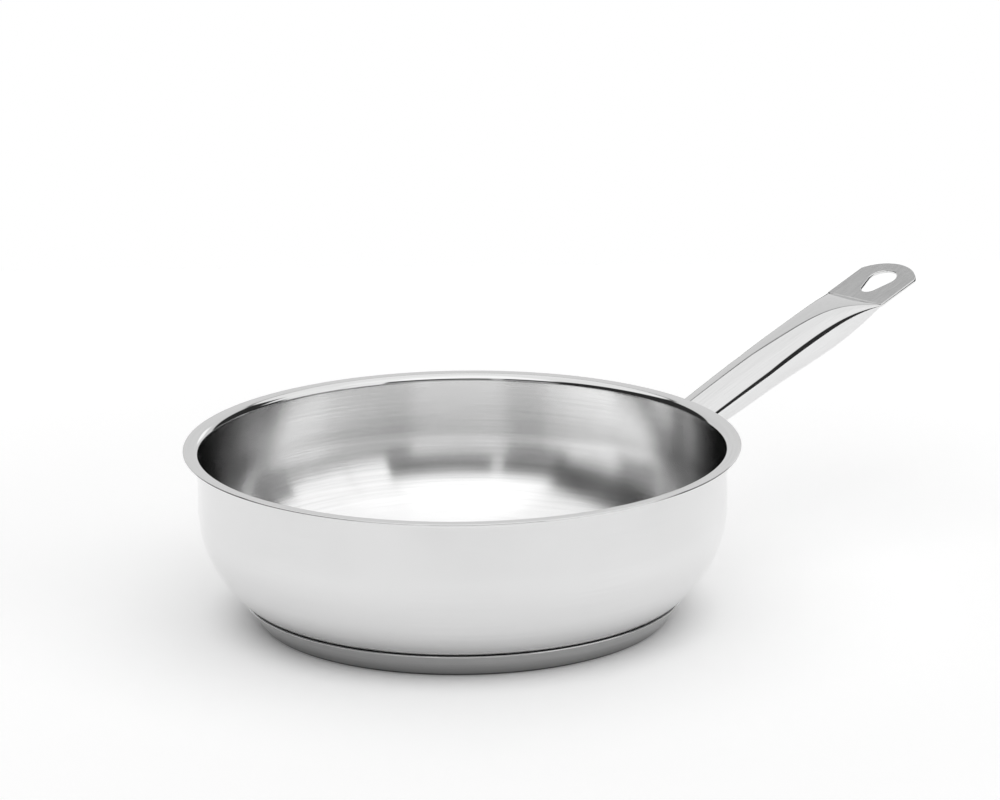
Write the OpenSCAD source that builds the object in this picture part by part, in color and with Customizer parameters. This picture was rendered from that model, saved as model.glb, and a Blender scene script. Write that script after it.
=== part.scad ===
// Saucier pan: a drawn stainless bowl, a capsule base and a welded tube handle.
// Sizes are in millimetres. The origin is on the bowl's axis at the underside of
// the base, +Z points up and the handle runs out along +X.

/* [Bowl] */
// Inside diameter of the straight wall, which is the size the pan is sold by
inner_d = 240; // [200:5:300]
// Thickness of the drawn steel sheet
sheet_t = 1; // [0.8:0.1:1.4]
// Height of the straight wall between the rounded side and the lip
wall_h = 24; // [16:0.2:60]
// Outer radius of the upper, larger arc of the rounded side
side_r = 52; // [40:1:60]
// Outer radius of the lower, tighter arc that runs into the flat floor
heel_r = 22; // [14:1:30]
// Angle below the horizontal at which the two arcs meet
heel_angle = 53; // [42:1:62]
// Radius of the underside of the bend that turns the wall out into the lip
lip_r = 2.4; // [0.8:0.1:4]
// Width of the lip's flat rim beyond that bend
lip_w = 3.6; // [2:0.1:7]

/* [Base] */
// Thickness of the magnetic steel capsule
cap_t = 0.8; // [0.5:0.1:1.2]
// Thickness of the aluminium core
core_t = 5.6; // [3:0.2:8]
// Thickness of each film of brazing alloy
braze_t = 0.2; // [0.1:0.05:0.4]
// How far the capsule's foot reaches past the edge of the flat floor
base_reach = 6.5; // [3:0.5:9]
// How much wider the capsule is at its lip than at its foot, on the radius
cap_flare = 8.2; // [5:0.2:10]
// Height of the dark gap between the capsule's lip and the bowl
lip_gap = 1.2; // [0.6:0.1:2]
// Chamfer round the capsule's foot
foot_chamfer = 0.6; // [0.2:0.1:1]
// Free space between the core's edge and the capsule
core_gap = 0.3; // [0.2:0.1:0.6]

/* [Handle] */
// Length of the handle from the bowl's wall to its tip
handle_len = 188.8; // [140:0.2:260]
// Upward tilt of the handle from the horizontal
handle_tilt = 18; // [5:1:28]
// Depth of the handle's centre line below the rim, at the wall
handle_drop = 29.6; // [26:0.2:34]
// Thickness of the tube's sheet
tube_t = 0.8; // [0.6:0.1:1.2]
// Width of the tube at its root
root_w = 20.5; // [16:0.5:28]
// Height of the tube at its root
root_h = 17.6; // [12:0.2:21]
// Width of the tube at its belly
belly_w = 22; // [18:0.2:30]
// Height of the tube at its belly
belly_h = 20.2; // [14:0.1:24]
// Distance of the belly from the wall
belly_at = 82; // [50:1:95]
// Length over which the tube is pressed flat
press_len = 74; // [50:1:90]
// How late the pressing comes on: 1 is even, and more keeps the tube round for longer
press_power = 5.5; // [2:0.5:8]
// How far the pressed stretch sags below the centre line
press_sag = 1; // [0:0.1:1.5]
// Width of the flat eye plate
plate_w = 35.2; // [28:0.2:44]
// Length of the flat eye plate
plate_len = 35.5; // [33:0.5:44]
// Radius of the arc that rounds the tip
tip_r = 21; // [18:0.5:30]
// Radius of the hanging eye's wide end
eye_r = 7.2; // [5:0.1:8.5]
// Radius of the hanging eye's narrow end
eye_narrow_r = 4.2; // [3:0.1:4.8]
// Distance of the eye's wide end from the tip, centre to tip
eye_from_tip = 14.1; // [12:0.1:15]
// Distance between the centres of the eye's two ends
eye_span = 9.8; // [6:0.2:11]

/* [Handle saddle] */
// Thickness of the saddle plate
saddle_t = 1.5; // [1:0.1:2.5]
// Width of the saddle plate across the handle
saddle_w = 50; // [44:1:60]
// Height of the saddle plate
saddle_h = 34; // [32:0.5:38]
// Corner radius of the saddle plate
saddle_corner_r = 9; // [4:0.5:12]
// Length of the collar that enters the tube
collar_len = 14; // [8:1:30]
// Thickness of the collar
collar_t = 1.2; // [0.8:0.1:2]
// Clearance between the collar and the tube
collar_fit = 0.3; // [0.2:0.05:0.5]
// Leg length of the weld bead round the tube
weld_leg = 2; // [1:0.1:3]
// Diameter of a spot weld's dimple in the saddle plate
dimple_d = 5; // [3:0.5:6]
// Depth of a spot weld's dimple
dimple_depth = 0.4; // [0.2:0.1:0.6]

/* [Hidden] */
$fn = 180;

// The bowl's outer surface
wall_r = inner_d / 2 + sheet_t;
floor_z = cap_t + core_t + 2 * braze_t;
arc_step = side_r - heel_r;
side_c = [wall_r - side_r, floor_z + arc_step * sin(heel_angle) + heel_r];
heel_c = [side_c.x + arc_step * cos(heel_angle), floor_z + heel_r];
lip_z = side_c.y + wall_h;
rim_z = lip_z + lip_r + sheet_t;
flat_r = heel_c.x;

// The capsule: its lip stays lip_gap below the bowl whatever the bowl's arcs are
foot_r = flat_r + base_reach;
cap_lip_r = foot_r + cap_flare;
cap_h = bowl_z(cap_lip_r) - lip_gap;
cap_slant = norm([cap_flare, cap_h]);
lower_braze_z = cap_t;
core_z = lower_braze_z + braze_t;
upper_braze_z = core_z + core_t;

// The handle's own frame: s runs along the handle from the wall, y across it
// and k square to the eye plate. The first full ring lies at root_clear, past
// the coped end.
handle_z = rim_z - handle_drop;
plate_t = 2 * tube_t;
fold_s = handle_len - plate_len;
press_s = fold_s - press_len;
eye_s = handle_len - eye_from_tip;
root_clear = saddle_t + 0.6 * root_h;
// How the section changes: p * p * (1 - p) peaks at 4 / 27
sag_peak = 4 / 27;
width_power = 0.76;
belly_square = 0.3;
fold_square = 1.7;
// Points round a ring, rings along the tube, and small clearances
RING = 48;
STATIONS = 30;
weld_fit = 0.05;
eps = 0.01;

// Height of the bowl's outer surface above the base at a radius within its arcs
function bowl_z(r) =
    r > heel_c.x + heel_r * cos(heel_angle)
    ? side_c.y - sqrt(pow(side_r, 2) - pow(r - side_c.x, 2))
    : heel_c.y - sqrt(pow(heel_r, 2) - pow(r - heel_c.x, 2));

// Radius of the surface that lies a distance out from the bowl's wall
function face_r(z, out) =
    z >= side_c.y
    ? wall_r + out
    : side_c.x + sqrt(pow(side_r + out, 2) - pow(side_c.y - z, 2));

// Inner radius of the capsule's slanted side at a height
function cap_inner_r(z) = foot_r + (cap_flare * z - cap_t * cap_slant) / cap_h;

// A smooth step from 0 to 1
function ease(x) = let (c = min(max(x, 0), 1)) c * c * (3 - 2 * c);

// A signed power, for sections between an ellipse and a rounded bar
function signed_pow(x, e) = sign(x) * pow(abs(x), e);

// How far the pressing has gone at s: 0 at the belly, 1 at the fold
function pressed(s) = min(max((s - press_s) / press_len, 0), 1);

// Share of the tube's height that the pressing has taken at s
function flattened(s) = pow(pressed(s), press_power);

// Half of the tube's height, half of its width and its centre at s
function round_half_h(s) = (root_h + (belly_h - root_h) * ease(s / belly_at)) / 2;
function round_half_w(s) = (root_w + (belly_w - root_w) * ease(s / belly_at)) / 2;
function half_h(s) = plate_t / 2 + (round_half_h(s) - plate_t / 2) * (1 - flattened(s));
function half_w(s) = round_half_w(s) + (plate_w / 2 - round_half_w(s)) * pow(flattened(s), width_power);
function centre_k(s) = let (p = pressed(s)) -press_sag * p * p * (1 - p) / sag_peak;

// Exponent of the section: 2 is an ellipse, and the pressed end is squarer
function squareness(s) = 2 + belly_square * ease(s / belly_at) + fold_square * pressed(s);

// One point of the section at s, moved in by an inset
function section(s, inset, j) =
    let (
        a = 360 * j / RING,
        e = 2 / squareness(s),
        y = (half_w(s) - inset) * signed_pow(cos(a), e),
        k = centre_k(s) + (half_h(s) - inset) * signed_pow(sin(a), e)
    )
    [y, k];

// Place of a point of the handle's frame in the pan's frame
function pan_x(s, k) = wall_r + s * cos(handle_tilt) - k * sin(handle_tilt);
function pan_z(s, k) = handle_z + s * sin(handle_tilt) + k * cos(handle_tilt);

// Distance s at which a line along the handle meets the surface out from the wall
function meet_s(y, k, out, s = 0, turns = 8) =
    turns == 0
    ? s
    : let (miss = face_r(pan_z(s, k), out) - norm([pan_x(s, k), y]))
      meet_s(y, k, out, s + miss / cos(handle_tilt), turns - 1);

// Place of a ring along the tube: the rings lie closer together where it is pressed
function station(i) =
    let (left = 1 - i / STATIONS)
    root_clear + (fold_s - root_clear) * (1 - pow(left, 1.3));

// A section as a ring of points at one s
function flat_ring(s, inset) = [
    for (j = [0 : RING - 1])
        let (q = section(s, inset, j))
        [s, q.x, q.y]
];

// The root section carried onto the surface out from the wall, like a coped end
function coped_ring(out, inset) = [
    for (j = [0 : RING - 1])
        let (q = section(0, inset, j))
        [meet_s(q.x, q.y, out), q.x, q.y]
];

// Middle of a ring of points
function mean_point(ring) = [
    for (i = [0 : 2])
        let (c = [for (p = ring) p[i]])
        (c * [for (p = ring) 1]) / len(ring)
];

// Faces that close a skin over a list of rings, with a fan on each end
function skin_faces(rings) = let (last = rings - 1, first_mid = rings * RING) concat(
    [
        for (i = [0 : last - 1], j = [0 : RING - 1], half = [0, 1])
            let (n = (j + 1) % RING, a = i * RING, b = (i + 1) * RING)
            half == 0 ? [a + j, b + j, b + n] : [a + j, b + n, a + n]
    ],
    [for (j = [0 : RING - 1]) [first_mid, j, (j + 1) % RING]],
    [for (j = [0 : RING - 1]) [first_mid + 1, last * RING + (j + 1) % RING, last * RING + j]]
);

// A closed solid lofted through rings
module loft(rings) {
    points = concat(
        [for (ring = rings) each ring],
        [mean_point(rings[0]), mean_point(rings[len(rings) - 1])]
    );
    polyhedron(points = points, faces = skin_faces(len(rings)), convexity = 6);
}

// Puts its children from the handle's frame into the pan's frame
module on_handle() {
    translate([wall_r, 0, handle_z])
        rotate([0, -handle_tilt, 0])
            children();
}

// Everything inside the bowl's surface, moved in by an inset, as a half section
module bowl_fill(inset) {
    slope = [cos(heel_angle), -sin(heel_angle)];
    intersection() {
        translate(side_c)
            circle(side_r - inset);
        polygon([
            side_c,
            side_c + 2 * side_r * slope,
            side_c + [2 * side_r, 0],
            side_c + [2 * side_r, wall_h / 2],
            side_c + [0, wall_h / 2]
        ]);
    }
    translate(heel_c)
        circle(heel_r - inset);
    polygon([
        [0, floor_z + inset],
        [heel_c.x, floor_z + inset],
        heel_c + heel_r / 2 * slope,
        side_c + [side_r / 2, 0],
        [wall_r - inset, side_c.y],
        [wall_r - inset, lip_z + sheet_t],
        [0, lip_z + sheet_t]
    ]);
    difference() {
        translate([0, lip_z])
            square([wall_r + lip_r, lip_r + sheet_t]);
        translate([wall_r + lip_r, lip_z])
            circle(lip_r + inset);
    }
}

// Drawn bowl with its flared lip, whose edge is rounded
module pan_body() {
    color("gainsboro")
        rotate_extrude() {
            difference() {
                bowl_fill(0);
                bowl_fill(sheet_t);
            }
            translate([wall_r + lip_r, rim_z - sheet_t])
                square([lip_w, sheet_t]);
            translate([wall_r + lip_r + lip_w, rim_z - sheet_t / 2])
                circle(sheet_t / 2, $fn = 48);
        }
}

// Film of brazing alloy between the bowl's flat floor and the core
module upper_braze() {
    color("lightgray")
        translate([0, 0, upper_braze_z])
            cylinder(h = braze_t, r = flat_r);
}

// Aluminium disc that spreads the heat
module base_core() {
    color("silver")
        rotate_extrude()
            polygon([
                [0, core_z],
                [cap_inner_r(core_z) - core_gap, core_z],
                [cap_inner_r(upper_braze_z) - core_gap, upper_braze_z],
                [0, upper_braze_z]
            ]);
}

// Film of brazing alloy between the core and the capsule's floor
module lower_braze() {
    color("lightgray")
        translate([0, 0, lower_braze_z])
            cylinder(h = braze_t, r = flat_r);
}

// Pressed capsule of magnetic steel that wraps the core
module base_cap() {
    color("darkgray")
        rotate_extrude()
            polygon([
                [0, 0],
                [foot_r - foot_chamfer, 0],
                [foot_r + cap_flare * foot_chamfer / cap_h, foot_chamfer],
                [cap_lip_r, cap_h],
                [cap_inner_r(cap_h), cap_h],
                [cap_inner_r(cap_t), cap_t],
                [0, cap_t]
            ]);
}

// Outline of the eye plate, from just inside the fold to the rounded tip
module plate_outline() {
    difference() {
        intersection() {
            translate([fold_s - tube_t, -plate_w / 2])
                square([plate_len + tube_t, plate_w]);
            translate([handle_len - tip_r, 0])
                union() {
                    circle(tip_r);
                    translate([-handle_len, -plate_w])
                        square([handle_len, 2 * plate_w]);
                }
        }
        hull() {
            translate([eye_s, 0])
                circle(eye_r, $fn = 48);
            translate([eye_s - eye_span, 0])
                circle(eye_narrow_r, $fn = 48);
        }
    }
}

// Tube pressed flat into an eye plate, coped at its root to sit on the saddle
module handle_tube() {
    outer = concat(
        [coped_ring(saddle_t + weld_fit, 0)],
        [for (i = [0 : STATIONS]) flat_ring(station(i), 0)]
    );
    bore_s = [for (i = [0 : STATIONS]) if (half_h(station(i)) > 1.5 * tube_t) station(i)];
    bore = concat(
        [flat_ring(-root_h, tube_t)],
        [for (s = bore_s) flat_ring(s, tube_t)]
    );
    color("gainsboro")
        on_handle()
            difference() {
                union() {
                    loft(outer);
                    translate([0, 0, -plate_t / 2])
                        linear_extrude(plate_t)
                            plate_outline();
                }
                loft(bore);
            }
}

// Half section of everything inside the surface that lies out from the wall
module wall_band(out) {
    intersection() {
        translate(side_c)
            circle(side_r + out);
        translate([side_c.x, side_c.y - side_r])
            square([2 * side_r, side_r + wall_h / 2]);
    }
    translate(side_c)
        square([side_r + out, wall_h]);
}

// Rectangle with round corners about its centre
module rounded_rect(w, h, r) {
    square([w, h - 2 * r], center = true);
    square([w - 2 * r, h], center = true);
    for (x = [-1, 1], y = [-1, 1])
        translate([x * (w / 2 - r), y * (h / 2 - r)])
            circle(r, $fn = 48);
}

// Plate that fits the bowl's wall, cut from a band round it
module saddle_plate() {
    intersection() {
        rotate_extrude()
            difference() {
                wall_band(saddle_t);
                wall_band(0);
            }
        translate([side_c.x, 0, handle_z])
            rotate([90, 0, 90])
                linear_extrude(2 * side_r)
                    rounded_rect(saddle_w, saddle_h, saddle_corner_r);
    }
}

// Loft from the saddle's face to the end of the collar, moved in by an inset
module collar_core(inset, start, extra) {
    loft([
        coped_ring(start, inset),
        flat_ring(root_clear + collar_len + extra, inset)
    ]);
}

// Shallow dimple that a spot weld leaves near a corner of the saddle
module spot_dimple(side, up) {
    z = handle_z + up * (saddle_h / 2 - dimple_d);
    face = face_r(z, saddle_t);
    rotate([0, 0, asin(side * (saddle_w / 2 - dimple_d) / face)])
        translate([face - dimple_depth, 0, z])
            rotate([0, 90, 0])
                cylinder(d = dimple_d, h = saddle_t, $fn = 48);
}

// Saddle plate with a collar that enters the tube and four spot welds
module handle_saddle() {
    color("silver")
        difference() {
            union() {
                saddle_plate();
                on_handle()
                    collar_core(tube_t + collar_fit, saddle_t / 2, 0);
            }
            on_handle()
                collar_core(tube_t + collar_fit + collar_t, saddle_t, eps);
            for (side = [-1, 1], up = [-1, 1])
                spot_dimple(side, up);
        }
}

// Bead of weld metal in the corner between the tube's root and the saddle
module handle_weld() {
    toe = coped_ring(saddle_t + weld_fit, -weld_fit);
    brim = coped_ring(saddle_t + weld_fit, -weld_leg);
    top = [for (p = toe) p + [weld_leg, 0, 0]];
    points = concat(toe, brim, top);
    faces = [
        for (side = [0 : 2], j = [0 : RING - 1], half = [0, 1])
            let (
                a = side * RING,
                b = (side + 1) % 3 * RING,
                n = (j + 1) % RING
            )
            half == 0 ? [a + j, b + j, b + n] : [a + j, b + n, a + n]
    ];
    color("darkgray")
        on_handle()
            polyhedron(points = points, faces = faces, convexity = 6);
}

pan_body();
upper_braze();
base_core();
lower_braze();
base_cap();
handle_tube();
handle_saddle();
handle_weld();
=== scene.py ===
from math import acos, asin, atan2, cos, degrees, hypot, pi, radians, sin, sqrt
from typing import NamedTuple

import bpy
from mathutils import Matrix, Vector


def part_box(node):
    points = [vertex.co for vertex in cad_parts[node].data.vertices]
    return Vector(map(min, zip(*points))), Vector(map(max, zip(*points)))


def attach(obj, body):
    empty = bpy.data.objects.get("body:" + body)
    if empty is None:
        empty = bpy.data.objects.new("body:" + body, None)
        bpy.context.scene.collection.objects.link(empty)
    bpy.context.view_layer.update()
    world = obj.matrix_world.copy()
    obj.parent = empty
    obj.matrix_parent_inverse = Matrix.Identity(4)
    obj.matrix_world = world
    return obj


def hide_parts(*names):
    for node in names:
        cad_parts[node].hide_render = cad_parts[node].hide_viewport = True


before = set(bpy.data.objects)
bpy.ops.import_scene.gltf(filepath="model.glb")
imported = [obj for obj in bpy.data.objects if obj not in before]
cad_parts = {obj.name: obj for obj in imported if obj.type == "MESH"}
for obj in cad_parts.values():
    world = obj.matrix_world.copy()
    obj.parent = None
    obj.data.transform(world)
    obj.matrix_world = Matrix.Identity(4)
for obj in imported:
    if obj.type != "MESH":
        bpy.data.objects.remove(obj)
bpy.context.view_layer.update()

bl_info = {
    "name": "Saucier pan",
    "version": (1, 0, 0),
    "blender": (4, 5, 0),
    "location": "3D View > Sidebar > Saucier",
    "description": "Models the visible pieces of a stainless saucier pan round its CAD frame",
    "category": "Object",
}

BOWL_LOW, BOWL_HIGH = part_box("pan_body")
CAP_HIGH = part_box("base_cap")[1]
BODY = "root"

# How finely round forms are divided; an arc's step is in degrees
TURN_STEPS = 256
ARC_STEP = 2.5
LEAST_ARC_STEPS = 6
TUBE_RING = 128
TUBE_STATIONS = 160
EYE_STEPS = 128
EDGE_SEGMENTS = 3

# Radius of the small ring from which each pole is drawn together, and the distances at
# which vertices are merged or count as one place, in metres
POLE_RING = 0.004
MERGE = 1e-7
SAME_PLACE = 1e-6

# Edges sharper than this stay sharp
SMOOTH_ANGLE = radians(40)
# Share of a normal along Z from which a face counts as level
LEVEL = 0.99

# Soft boxes of the studio: azimuth from the camera's heading, half width and softness of
# the sides, lowest elevation and its softness, highest elevation and its softness, all in
# degrees, and radiance. Azimuth grows to the right, and where boxes overlap the brightest
# one counts.
STUDIO_PANELS = [
    (0, 200, 2, -90, 1, 90, 1, 0.03),    # the dark room
    (0, 200, 2, 41.3, 1, 95, 1, 0.96),   # the ceiling
    (170, 66, 8, 39, 3, 95, 1, 1.08),    # the wide box above the camera
    (184, 42, 5, 31, 5, 68, 5, 1.20),    # the brighter box within it
    (-2, 43, 2, -2, 2, 39.2, 1, 0.74),   # the backdrop
    (22, 8, 4, 8, 4, 25, 4, 1.15),       # the bright patch on the backdrop
    (135, 10, 1, 4, 2, 95, 1, 1.00),     # the right side, nearest the camera
    (110, 16, 3, 6, 2, 95, 1, 1.00),     # the right side
    (100, 22, 4, 20, 3, 95, 1, 1.00),    # the upper right side
    (184, 39, 3, -12, 3, 15, 5, 0.38),   # the low grey side behind the camera
    (196, 3, 1, -6, 3, 40, 2, 0.50),     # the narrow strip behind the camera
]


class Brushing(NamedTuple):
    """How one finish of metal is brushed, with its lengths in metres."""
    rough: float            # roughness
    spread: float           # how far the roughness strays over the surface
    pitch: float            # distance between the lines of the grain
    run: float              # length of a line of the grain
    depth: float            # depth of the grain
    turned: float = 0.0     # how far brushing round the axis stretches reflections
    mottle: float = 0.04    # how far the grain changes the colour
    edge: float = 1.0       # tint of the reflection at a grazing angle


BRUSHING = {
    "satin_outside": Brushing(0.18, 0.02, 0.0005, 0.08, 0.0000002, turned=0.8, mottle=0.015),
    "brushed_inside": Brushing(
        0.19, 0.02, 0.0006, 0.10, 0.0000003, turned=0.9, mottle=0.07, edge=0.0),
    "polished_lip": Brushing(0.08, 0.02, 0.0004, 0.05, 0.0000003),
    "capsule_steel": Brushing(0.13, 0.02, 0.0004, 0.04, 0.0000005, turned=0.6),
    "capsule_lip": Brushing(0.10, 0.02, 0.0004, 0.04, 0.0000003),
    "capsule_sole": Brushing(0.20, 0.03, 0.0005, 0.05, 0.000001),
    "polished_tube": Brushing(0.07, 0.02, 0.0005, 0.03, 0.000001),
    "brushed_plate": Brushing(0.24, 0.03, 0.0004, 0.010, 0.000003, mottle=0.12),
    "polished_edge": Brushing(0.08, 0.02, 0.0005, 0.03, 0.0000005),
    "saddle_steel": Brushing(0.18, 0.03, 0.0004, 0.03, 0.000002),
    "weld_metal": Brushing(0.30, 0.06, 0.0008, 0.002, 0.00001),
    "core_aluminium": Brushing(0.35, 0.05, 0.0005, 0.02, 0.000004),
    "brazing_film": Brushing(0.45, 0.08, 0.001, 0.003, 0.00001),
}
# The grain and its patches mostly lie between these values of their noise
NOISE_LOW = 0.3
NOISE_HIGH = 0.7
GRAIN_DETAIL = 3.0
GRAIN_BREAKUP = 0.6
PATCH_BREAKUP = 0.55


# Sizes and finishes that a user would change

class BowlSizes(bpy.types.PropertyGroup):
    """Sizes of the drawn bowl, in metres"""
    rim_radius: bpy.props.FloatProperty(
        name="Rim radius", description="Radius of the rim's outer edge",
        default=BOWL_HIGH.y, unit="LENGTH")
    rim_height: bpy.props.FloatProperty(
        name="Rim height", description="Height of the rim above the base",
        default=BOWL_HIGH.z, unit="LENGTH")
    floor_height: bpy.props.FloatProperty(
        name="Floor height", description="Height of the bowl's underside",
        default=BOWL_LOW.z, unit="LENGTH")
    sheet: bpy.props.FloatProperty(
        name="Sheet", description="Thickness of the drawn steel", default=0.001, unit="LENGTH")
    wall_height: bpy.props.FloatProperty(
        name="Straight wall", description="Height of the straight wall under the lip",
        default=0.024, unit="LENGTH")
    side_radius: bpy.props.FloatProperty(
        name="Side radius", description="Outer radius of the large arc of the side",
        default=0.052, unit="LENGTH")
    heel_radius: bpy.props.FloatProperty(
        name="Heel radius", description="Outer radius of the arc that meets the floor",
        default=0.022, unit="LENGTH")
    heel_angle: bpy.props.FloatProperty(
        name="Heel angle", description="Angle below the horizontal at which the arcs meet",
        default=radians(53), subtype="ANGLE")
    lip_radius: bpy.props.FloatProperty(
        name="Lip radius", description="Radius of the underside of the lip's bend",
        default=0.0024, unit="LENGTH")
    lip_width: bpy.props.FloatProperty(
        name="Lip width", description="Width of the lip's flat rim beyond its bend",
        default=0.0036, unit="LENGTH")


class CapsuleSizes(bpy.types.PropertyGroup):
    """Sizes of the steel capsule under the bowl, in metres"""
    lip_radius: bpy.props.FloatProperty(
        name="Lip radius", description="Radius of the capsule's upper edge",
        default=CAP_HIGH.y, unit="LENGTH")
    height: bpy.props.FloatProperty(
        name="Height", description="Height of the capsule's upper edge",
        default=CAP_HIGH.z, unit="LENGTH")
    flare: bpy.props.FloatProperty(
        name="Flare", description="How much wider the lip is than the foot, on the radius",
        default=0.0082, unit="LENGTH")
    sheet: bpy.props.FloatProperty(
        name="Sheet", description="Thickness of the capsule's steel",
        default=0.0008, unit="LENGTH")
    foot_round: bpy.props.FloatProperty(
        name="Foot rounding", description="Radius that eases the foot's edge",
        default=0.0009, unit="LENGTH")
    lip_round: bpy.props.FloatProperty(
        name="Lip rounding", description="Radius that eases the lip's two edges",
        default=0.00038, unit="LENGTH")


class HandleSizes(bpy.types.PropertyGroup):
    """Sizes of the tube handle, in metres"""
    length: bpy.props.FloatProperty(
        name="Length", description="From the bowl's wall to the tip", default=0.1888, unit="LENGTH")
    tilt: bpy.props.FloatProperty(
        name="Tilt", description="Upward tilt from the horizontal",
        default=radians(18), subtype="ANGLE")
    drop: bpy.props.FloatProperty(
        name="Drop", description="Depth of the centre line below the rim, at the wall",
        default=0.0296, unit="LENGTH")
    sheet: bpy.props.FloatProperty(
        name="Sheet", description="Thickness of the tube's sheet", default=0.0008, unit="LENGTH")
    root_width: bpy.props.FloatProperty(
        name="Root width", description="Width at the root", default=0.0205, unit="LENGTH")
    root_height: bpy.props.FloatProperty(
        name="Root height", description="Height at the root", default=0.0176, unit="LENGTH")
    belly_width: bpy.props.FloatProperty(
        name="Belly width", description="Width at the belly", default=0.022, unit="LENGTH")
    belly_height: bpy.props.FloatProperty(
        name="Belly height", description="Height at the belly", default=0.0202, unit="LENGTH")
    belly_at: bpy.props.FloatProperty(
        name="Belly at", description="Distance of the belly from the wall",
        default=0.082, unit="LENGTH")
    press_length: bpy.props.FloatProperty(
        name="Pressed length", description="Length over which the tube is pressed flat",
        default=0.074, unit="LENGTH")
    press_power: bpy.props.FloatProperty(
        name="Lateness of the press",
        description="1 is even, and more keeps the tube round for longer", default=5.5)
    press_sag: bpy.props.FloatProperty(
        name="Sag", description="How far the pressed stretch sags", default=0.001, unit="LENGTH")
    plate_width: bpy.props.FloatProperty(
        name="Plate width", description="Width of the eye plate", default=0.0352, unit="LENGTH")
    plate_length: bpy.props.FloatProperty(
        name="Plate length", description="Length of the eye plate", default=0.0355, unit="LENGTH")
    tip_radius: bpy.props.FloatProperty(
        name="Tip radius", description="Radius of the arc that rounds the tip",
        default=0.021, unit="LENGTH")
    eye_radius: bpy.props.FloatProperty(
        name="Eye radius", description="Radius of the eye's wide end",
        default=0.0072, unit="LENGTH")
    eye_narrow: bpy.props.FloatProperty(
        name="Eye's narrow end", description="Radius of the eye's narrow end",
        default=0.0042, unit="LENGTH")
    eye_from_tip: bpy.props.FloatProperty(
        name="Eye from tip", description="Distance of the wide end's centre from the tip",
        default=0.0141, unit="LENGTH")
    eye_span: bpy.props.FloatProperty(
        name="Eye span", description="Distance between the centres of the eye's ends",
        default=0.0098, unit="LENGTH")


class SaddleSizes(bpy.types.PropertyGroup):
    """Sizes of the saddle plate and its weld, in metres"""
    sheet: bpy.props.FloatProperty(
        name="Sheet", description="Thickness of the saddle plate", default=0.0015, unit="LENGTH")
    width: bpy.props.FloatProperty(
        name="Width", description="Width across the handle", default=0.050, unit="LENGTH")
    height: bpy.props.FloatProperty(
        name="Height", description="Height of the plate", default=0.034, unit="LENGTH")
    corner: bpy.props.FloatProperty(
        name="Corner radius", description="Radius of the plate's corners",
        default=0.009, unit="LENGTH")
    weld: bpy.props.FloatProperty(
        name="Weld leg", description="Leg length of the bead", default=0.002, unit="LENGTH")
    dimple: bpy.props.FloatProperty(
        name="Dimple", description="Diameter of a spot weld's dimple", default=0.005, unit="LENGTH")
    dimple_depth: bpy.props.FloatProperty(
        name="Dimple depth", description="Depth of a spot weld's dimple",
        default=0.0004, unit="LENGTH")


class FinishColours(bpy.types.PropertyGroup):
    """Colours of the metals and of the stage"""
    steel: bpy.props.FloatVectorProperty(
        name="Steel", description="Colour of the stainless steel",
        default=(0.78, 0.78, 0.78), subtype="COLOR")
    inside: bpy.props.FloatVectorProperty(
        name="Inside", description="Colour of the brushed steel inside the bowl",
        default=(0.95, 0.95, 0.95), subtype="COLOR")
    capsule: bpy.props.FloatVectorProperty(
        name="Capsule", description="Colour of the magnetic steel",
        default=(0.48, 0.48, 0.48), subtype="COLOR")
    plate: bpy.props.FloatVectorProperty(
        name="Eye plate", description="Colour of the brushed eye plate",
        default=(0.58, 0.58, 0.58), subtype="COLOR")
    aluminium: bpy.props.FloatVectorProperty(
        name="Aluminium", description="Colour of the core",
        default=(0.80, 0.80, 0.81), subtype="COLOR")
    braze: bpy.props.FloatVectorProperty(
        name="Braze", description="Colour of the brazing films",
        default=(0.62, 0.62, 0.60), subtype="COLOR")
    floor: bpy.props.FloatVectorProperty(
        name="Floor", description="Colour of the studio floor",
        default=(0.95, 0.95, 0.95), subtype="COLOR")


GROUPS = {
    "bowl": BowlSizes,
    "capsule": CapsuleSizes,
    "handle": HandleSizes,
    "saddle": SaddleSizes,
    "finish": FinishColours,
}


def sizes(context, group):
    """One group of the pan's settings."""
    return getattr(context.scene, "saucier_" + group)


# Helpers that model with Blender's own operators

def start(kind, **settings):
    """Adds a primitive with nothing else selected and returns its object."""
    if bpy.context.object and bpy.context.object.mode != "OBJECT":
        bpy.ops.object.mode_set(mode="OBJECT")
    bpy.ops.object.select_all(action="DESELECT")
    getattr(bpy.ops.mesh, "primitive_" + kind + "_add")(**settings)
    return bpy.context.object


def edit_all():
    """Edit mode on the active object with everything selected."""
    bpy.ops.object.mode_set(mode="EDIT")
    bpy.ops.mesh.select_all(action="SELECT")


def finish_piece(obj, name, smooth=None):
    """Names a piece, applies its place and shades it, all round or up to an angle."""
    bpy.ops.object.mode_set(mode="OBJECT")
    bpy.ops.object.select_all(action="DESELECT")
    obj.select_set(True)
    bpy.context.view_layer.objects.active = obj
    bpy.ops.object.transform_apply(location=True, rotation=True, scale=True)
    if smooth is None:
        bpy.ops.object.shade_smooth()
    else:
        bpy.ops.object.shade_smooth_by_angle(angle=smooth)
    obj.name = name
    obj.data.name = name


def place(obj, name, slot, *nodes):
    """Puts a finished piece on the pan in place of its CAD nodes."""
    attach(obj, BODY)
    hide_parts(*nodes)


def dress(obj, *materials):
    """Gives a piece its materials, in the order by which its faces name them."""
    for material in materials:
        obj.data.materials.append(material)


def apply(obj, kind, **settings):
    """Adds a modifier to the active object and applies it."""
    modifier = obj.modifiers.new(kind.title(), kind)
    for key, value in settings.items():
        setattr(modifier, key, value)
    bpy.ops.object.modifier_apply(modifier=modifier.name)


def soften(obj, width, angle):
    """Rounds the edges of the active object that turn by more than an angle in degrees."""
    apply(obj, "BEVEL", width=width, segments=EDGE_SEGMENTS, limit_method="ANGLE",
          angle_limit=radians(angle))


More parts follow.
